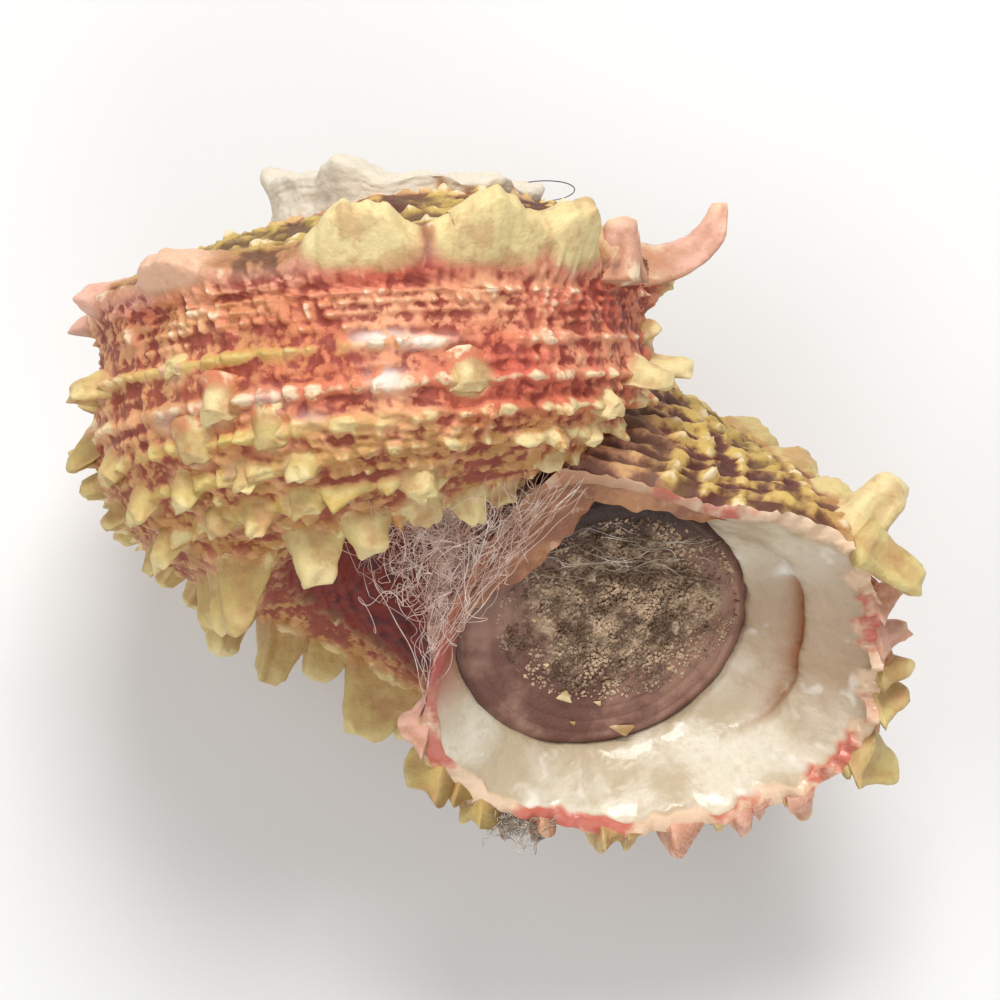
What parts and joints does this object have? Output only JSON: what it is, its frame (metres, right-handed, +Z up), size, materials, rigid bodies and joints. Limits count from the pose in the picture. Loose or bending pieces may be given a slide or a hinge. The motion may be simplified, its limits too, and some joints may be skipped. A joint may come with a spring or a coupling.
{
  "type": "dolphin shell",
  "caption": "Spiny, wound sea snail shell with a flared pearly mouth, closed by its dark horny operculum, lying on its back.",
  "frame": {"origin": "middle of the shell's outline seen from above, at the height of the surface that it lies on", "axes": "+Z up, the side that the mouth faces; +Y toward the spire's tip; +X toward the mouth's side"},
  "size_m": [0.0598, 0.0472, 0.0522],
  "materials": {
    "shell": "matte and grainy outside, silky pearl inside the mouth",
    "operculum": "dull horn with a sandy crust"
  },
  "bodies": {
    "root": {"shell": "shell", "operculum": "operculum"}
  },
  "joints": []
}
